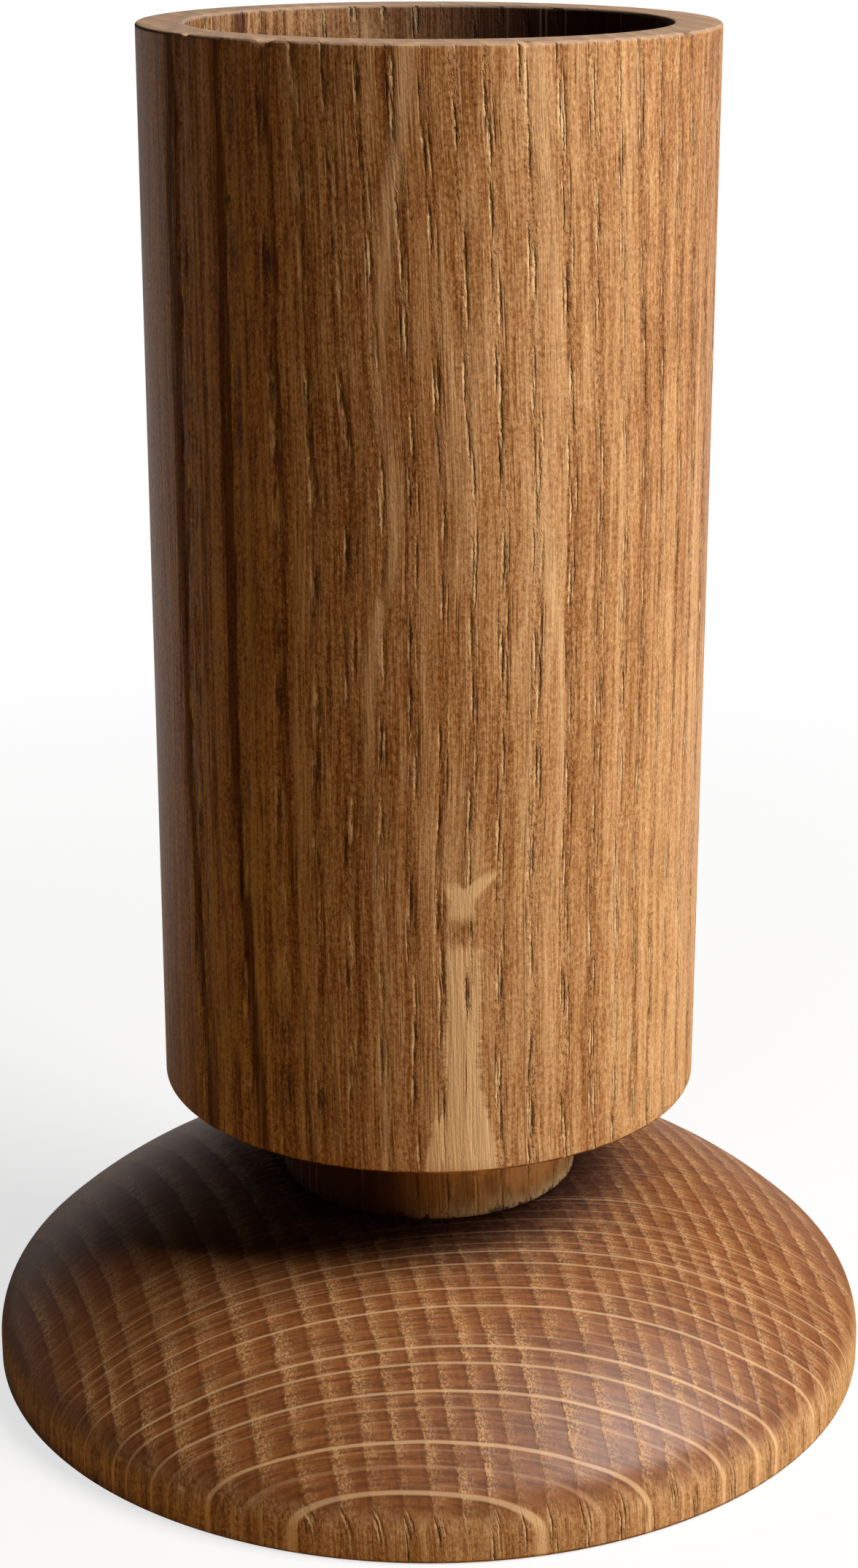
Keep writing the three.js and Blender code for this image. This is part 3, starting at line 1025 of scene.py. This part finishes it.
def base_outline():
    """From the middle of the dish out to the standing ring, up the edge, over the dome, in to the mortise and
    down to the middle of its floor. The dish is an arc through its middle and the standing ring."""
    foot = np.array([NECK_RADIUS, BASE_TOP])
    edge_centre = np.array([BASE_RADIUS - EDGE_RADIUS, BASE_EDGE])
    centre = dome_centre(foot, edge_centre)
    kiss = math.degrees(math.atan2(*(edge_centre - centre)[::-1]))
    start = math.degrees(math.atan2(*(foot - centre)[::-1]))
    arris = (BASE_RADIUS - BASE_ARRIS, BASE_ARRIS)
    dish_radius = (STANDING_RING**2 + BASE_DISH**2) / (2 * BASE_DISH)
    dish_end = 90 - math.degrees(math.asin(STANDING_RING / dish_radius))
    return np.vstack([
        bend((0, BASE_DISH - dish_radius), dish_radius, 90, dish_end, 8),
        run((STANDING_RING, 0, 6), (arris[0], 0)),
        bend(arris, BASE_ARRIS, -90, 0, 6),
        run((BASE_RADIUS, BASE_ARRIS, 4), (BASE_RADIUS, BASE_EDGE)),
        bend(edge_centre, EDGE_RADIUS, 0, kiss, 16),
        bend(centre, DOME_RADIUS, kiss, start, 84),
        run((*foot, 1), (NECK_RADIUS - BASE_ARRIS, BASE_TOP, 2), (MORTISE_RADIUS, BASE_TOP, 4),
            (MORTISE_RADIUS, BASE_MORTISE, 3), (0, BASE_MORTISE)),
        [(0, BASE_MORTISE)],
    ])


def torn_foot(angle, radius, height):
    """Nicks round the neck's foot: seeded random depths, averaged with their neighbours, deepest at the neck
    and gone within a third of the torn reach, which is widest on the right."""
    nicks = np.random.default_rng(NICK_SEED).random((radius.size, angle.size))
    soft = (nicks + np.roll(nicks, 1, axis=1) + np.roll(nicks, -1, axis=1)) / 3
    out = (radius - NECK_RADIUS) / MM
    reach = TORN_REACH[0] + (TORN_REACH[1] - TORN_REACH[0]) * smooth_step(np.sin(angle), -0.3, 0.5)
    near = (1 - smooth_step(out, 0, reach / 3)) * (out >= 0) * (height > BASE_TOP / 2)
    return -NICK_DEPTH * near * smooth_step(soft, 0.4, 0.75)


base = turn("oak_base", base_outline(), BASE_COLUMNS, torn_foot)
base_stain_and_shade = ((torn_stain_and_painted_shade, STAIN_AND_SHADE_BROWN),)
base.data.materials.append(oak("oak_base_finish", BASE_RAYS, stains_and_shade=base_stain_and_shade, gloss=BASE_GLOSS))
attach(base, "vase")
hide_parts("base")

# %% [markdown]
# The neck is a short spindle. Only the stretch between the dome and the cup shows. A round tenon with a
# small chamfer runs down into the base, and another runs up into the cup. Its wood is painted paler than the
# rest, as painted light in the shade of the cup, and warmed by the oil, and no broad ray crosses it.

# %% Neck
NECK_COLUMNS = 480
NECK_ARRIS = 0.1 * MM
# painted light: the neck is made paler to make up for the cup's shade
NECK_PALENESS_AND_LIGHT = 0.95


def neck_outline():
    """Up the lower tenon, out along its shoulder, up the straight side, and in and up the upper tenon."""
    tip, side = TENON_RADIUS - TENON_CHAMFER, NECK_RADIUS - NECK_ARRIS
    low, high = TENON_LOW + TENON_CHAMFER, TENON_HIGH - TENON_CHAMFER
    foot, top = NECK_FOOT + NECK_ARRIS, NECK_TOP - NECK_ARRIS
    return np.vstack([
        run((0, TENON_LOW, 3), (tip, TENON_LOW, 1), (TENON_RADIUS, low, 4), (TENON_RADIUS, NECK_FOOT, 3),
            (side, NECK_FOOT, 1), (NECK_RADIUS, foot, 40), (NECK_RADIUS, top, 1), (side, NECK_TOP, 3),
            (TENON_RADIUS, NECK_TOP, 4), (TENON_RADIUS, high, 1), (tip, TENON_HIGH, 3), (0, TENON_HIGH)),
        [(0, TENON_HIGH)],
    ])


neck = turn("oak_neck", neck_outline(), NECK_COLUMNS)
neck_stains_and_shade = ((neck_oil, OIL_ORANGE), (neck_blotches_and_painted_shade, STAIN_AND_SHADE_BROWN), (neck_fuzz, FUZZ_PALE),
               (neck_notches, STAIN_AND_SHADE_BROWN))
neck.data.materials.append(oak("oak_neck_finish", (), stains_and_shade=neck_stains_and_shade, paleness=NECK_PALENESS_AND_LIGHT))
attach(neck, "vase")
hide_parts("neck")

# %% [markdown]
# The cup is a straight cylinder with a flat-bottomed bore, which has the mark of the bit's spur in its
# floor, and a mortise underneath for the neck. Its wall is cut along the grain, so the open pores lie on it
# as upright grooves. The strongest of them are real relief: each keeps to the pored start of a ring, follows
# the lean of the grain and ends after a while. A few chips mark the rim.

# %% Cup
CUP_ARRIS = 0.3 * MM
WALL_EDGE = 0.1 * CUP_ARRIS
CUP_COLUMNS = 720
CUP_RAYS = ((18.6, 0.16, 0.25), (22.4, 0.18, 0.2), (27.0, 0.16, 0.25))
GROOVE_DEPTH = 0.18 * MM
GROOVE_STEP = 4.0 * MM
GROOVE_SEED = 11
GROOVE_CHANCE = (0.7, 0.92)
RIM_BAND = 3.0 * MM
CHIPS = ((-31.5, 150.0, 0.8, 0.6, 0.4), (57.0, 150.0, 0.5, 0.5, 0.35), (18.0, 150.0, 0.35, 0.4, 0.2),
         (-52.0, 150.0, 0.4, 0.5, 0.25), (-27.5, 132.0, 0.35, 1.2, 0.35), (-37.4, 44.4, 0.3, 1.3, 0.35),
         (-29.0, 57.6, 0.3, 1.2, 0.3))


def cup_outline():
    """From the mortise out to the wall, up it, over the rim, down the bore and in to the mark of the spur."""
    outer, inner = CUP_RADIUS - CUP_ARRIS, BORE_RADIUS + CUP_ARRIS
    low, high = CUP_FOOT + CUP_ARRIS, CUP_RIM - CUP_ARRIS
    return np.vstack([
        run((0, CUP_MORTISE, 2), (MORTISE_RADIUS, CUP_MORTISE, 2), (MORTISE_RADIUS, CUP_FOOT, 3),
            (outer, CUP_FOOT)),
        bend((outer, low), CUP_ARRIS, -90, 0, 4),
        run((CUP_RADIUS, low, 84), (CUP_RADIUS, high - RIM_BAND, 9), (CUP_RADIUS, high)),
        bend((outer, high), CUP_ARRIS, 0, 90, 4),
        run((outer, CUP_RIM, 5), (inner, CUP_RIM)),
        bend((inner, high), CUP_ARRIS, 90, 180, 4),
        run((BORE_RADIUS, high, 9), (BORE_RADIUS, BORE_FLOOR, 3), (SPUR_RADIUS, BORE_FLOOR, 1),
            (0, SPUR_TIP)),
        [(0, SPUR_TIP)],
    ])


def cup_grooves(angle, radius, height):
    """Depth of the pore grooves from 0 to 1, on the wall. A random field on columns and levels says where a
    groove runs. It is read at the angle less the grain's shift, between its nearest columns and levels."""
    columns = angle.size
    levels = int((CUP_RIM - CUP_FOOT) / GROOVE_STEP) + 3
    field = smooth_step(np.random.default_rng(GROOVE_SEED).random((levels, columns)), *GROOVE_CHANCE)
    x, y, z = radius * np.sin(angle) / MM, -radius * np.cos(angle) / MM, height / MM
    upright = angle - grain_shift(x, z) * np.cos(angle) / (CUP_RADIUS / MM)
    column = (upright + np.pi) / (2 * np.pi) * columns
    level = np.clip((height - CUP_FOOT) / GROOVE_STEP, 0, levels - 2) + 0 * column
    left, low = np.floor(column).astype(int), np.floor(level).astype(int)
    right_share, high_share = column - left, level - low
    left, right = left % columns, (left + 1) % columns
    at_low = field[low, left] * (1 - right_share) + field[low, right] * right_share
    at_high = field[low + 1, left] * (1 - right_share) + field[low + 1, right] * right_share
    on_wall = np.abs(radius - CUP_RADIUS) < WALL_EDGE
    return (at_low * (1 - high_share) + at_high * high_share) * pore_zone(x, y, z) * on_wall


def chips(angle, radius, height):
    """Depth of the chips and pits, from (angle, height, half width, half height, depth): each a round bump,
    the exponential of minus the squared distance, measured in half sizes. It leaves the bore alone."""
    depth = 0
    for where, level, half_width, half_height, deep in CHIPS:
        sideways = CUP_RADIUS * (angle - math.radians(where)) / (half_width * MM)
        upwards = (height - level * MM) / (half_height * MM)
        depth = depth + deep * MM * np.exp(-sideways**2 - upwards**2)
    return depth * (radius > (BORE_RADIUS + CUP_RADIUS) / 2)


def cup_relief(angle, radius, height):
    """The grooves and the chips, pressed in."""
    return -GROOVE_DEPTH * cup_grooves(angle, radius, height) - chips(angle, radius, height)


cup = turn("oak_cup", cup_outline(), CUP_COLUMNS, cup_relief, cup_grooves)
cup_stains_and_shade = ((dark_bands, BAND_RED), (bore_stain_and_painted_shade, STAIN_AND_SHADE_BROWN), (rim_wear_and_painted_sheen, WORN_AND_SHEEN_GREY))
cup_finish = oak("oak_cup_finish", CUP_RAYS, (ribbons, front_fleck), cup_stains_and_shade, grooved=True)
cup.data.materials.append(cup_finish)
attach(cup, "vase")
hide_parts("cup")

# %% [markdown]
# The liner is a straight glass beaker with a heavy floor, a rim melted round and a foot that is pushed up
# a little in the middle. It is drawn glass, so its walls carry a faint upright waviness.

# %% Glass liner
LINER_COLUMNS = 192
LINER_FOOT_RADIUS = 3.0 * MM
LINER_CORNER = 2.0 * MM
LINER_STANDING_RING = 6.0 * MM
GLASS_TINT, GLASS_ROUGHNESS, GLASS_IOR = (0.93, 0.97, 0.96, 1), 0.02, 1.5
GLASS_WAVES, GLASS_WAVE_HEIGHT = (180.0, 180.0, 14.0), 0.2 * MM


def liner_outline():
    """Under the foot, up the outside, over the round rim, down the inside and in along the floor."""
    rim = (LINER_RADIUS - LINER_INNER) / 2
    foot_x, foot_z = LINER_RADIUS - LINER_FOOT_RADIUS, LINER_FOOT + LINER_FOOT_RADIUS
    corner_x, corner_z = LINER_INNER - LINER_CORNER, LINER_FLOOR + LINER_CORNER
    return np.vstack([
        run((0, LINER_PUNT, 6), (foot_x - LINER_STANDING_RING, LINER_FOOT, 3), (foot_x, LINER_FOOT)),
        bend((foot_x, foot_z), LINER_FOOT_RADIUS, -90, 0, 8),
        run((LINER_RADIUS, foot_z, 16), (LINER_RADIUS, LINER_RIM - rim)),
        bend((LINER_RADIUS - rim, LINER_RIM - rim), rim, 0, 180, 12),
        run((LINER_INNER, LINER_RIM - rim, 16), (LINER_INNER, corner_z)),
        bend((corner_x, corner_z), LINER_CORNER, 0, -90, 6),
        run((corner_x, LINER_FLOOR, 5), (0, LINER_FLOOR)),
        [(0, LINER_FLOOR)],
    ])


def drawn_glass():
    """Clear glass with a faint waviness."""
    f = Finish("drawn_glass")
    place = f.add("ShaderNodeTexCoord", {}, output="Object")
    wave = f.noise(f.stretch(place, GLASS_WAVES), detail=1.0)
    bump = f.add("ShaderNodeBump", {"Height": wave, "Strength": 0.25, "Distance": GLASS_WAVE_HEIGHT})
    return f.coat({"Base Color": GLASS_TINT, "Roughness": GLASS_ROUGHNESS, "IOR": GLASS_IOR,
                   "Transmission Weight": 1.0, "Normal": bump})


liner = turn("clear_liner", liner_outline(), LINER_COLUMNS)
liner.data.materials.append(drawn_glass())
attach(liner, "liner")
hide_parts("glass_liner")

# %% [markdown]
# Blender never changes the size of the part.
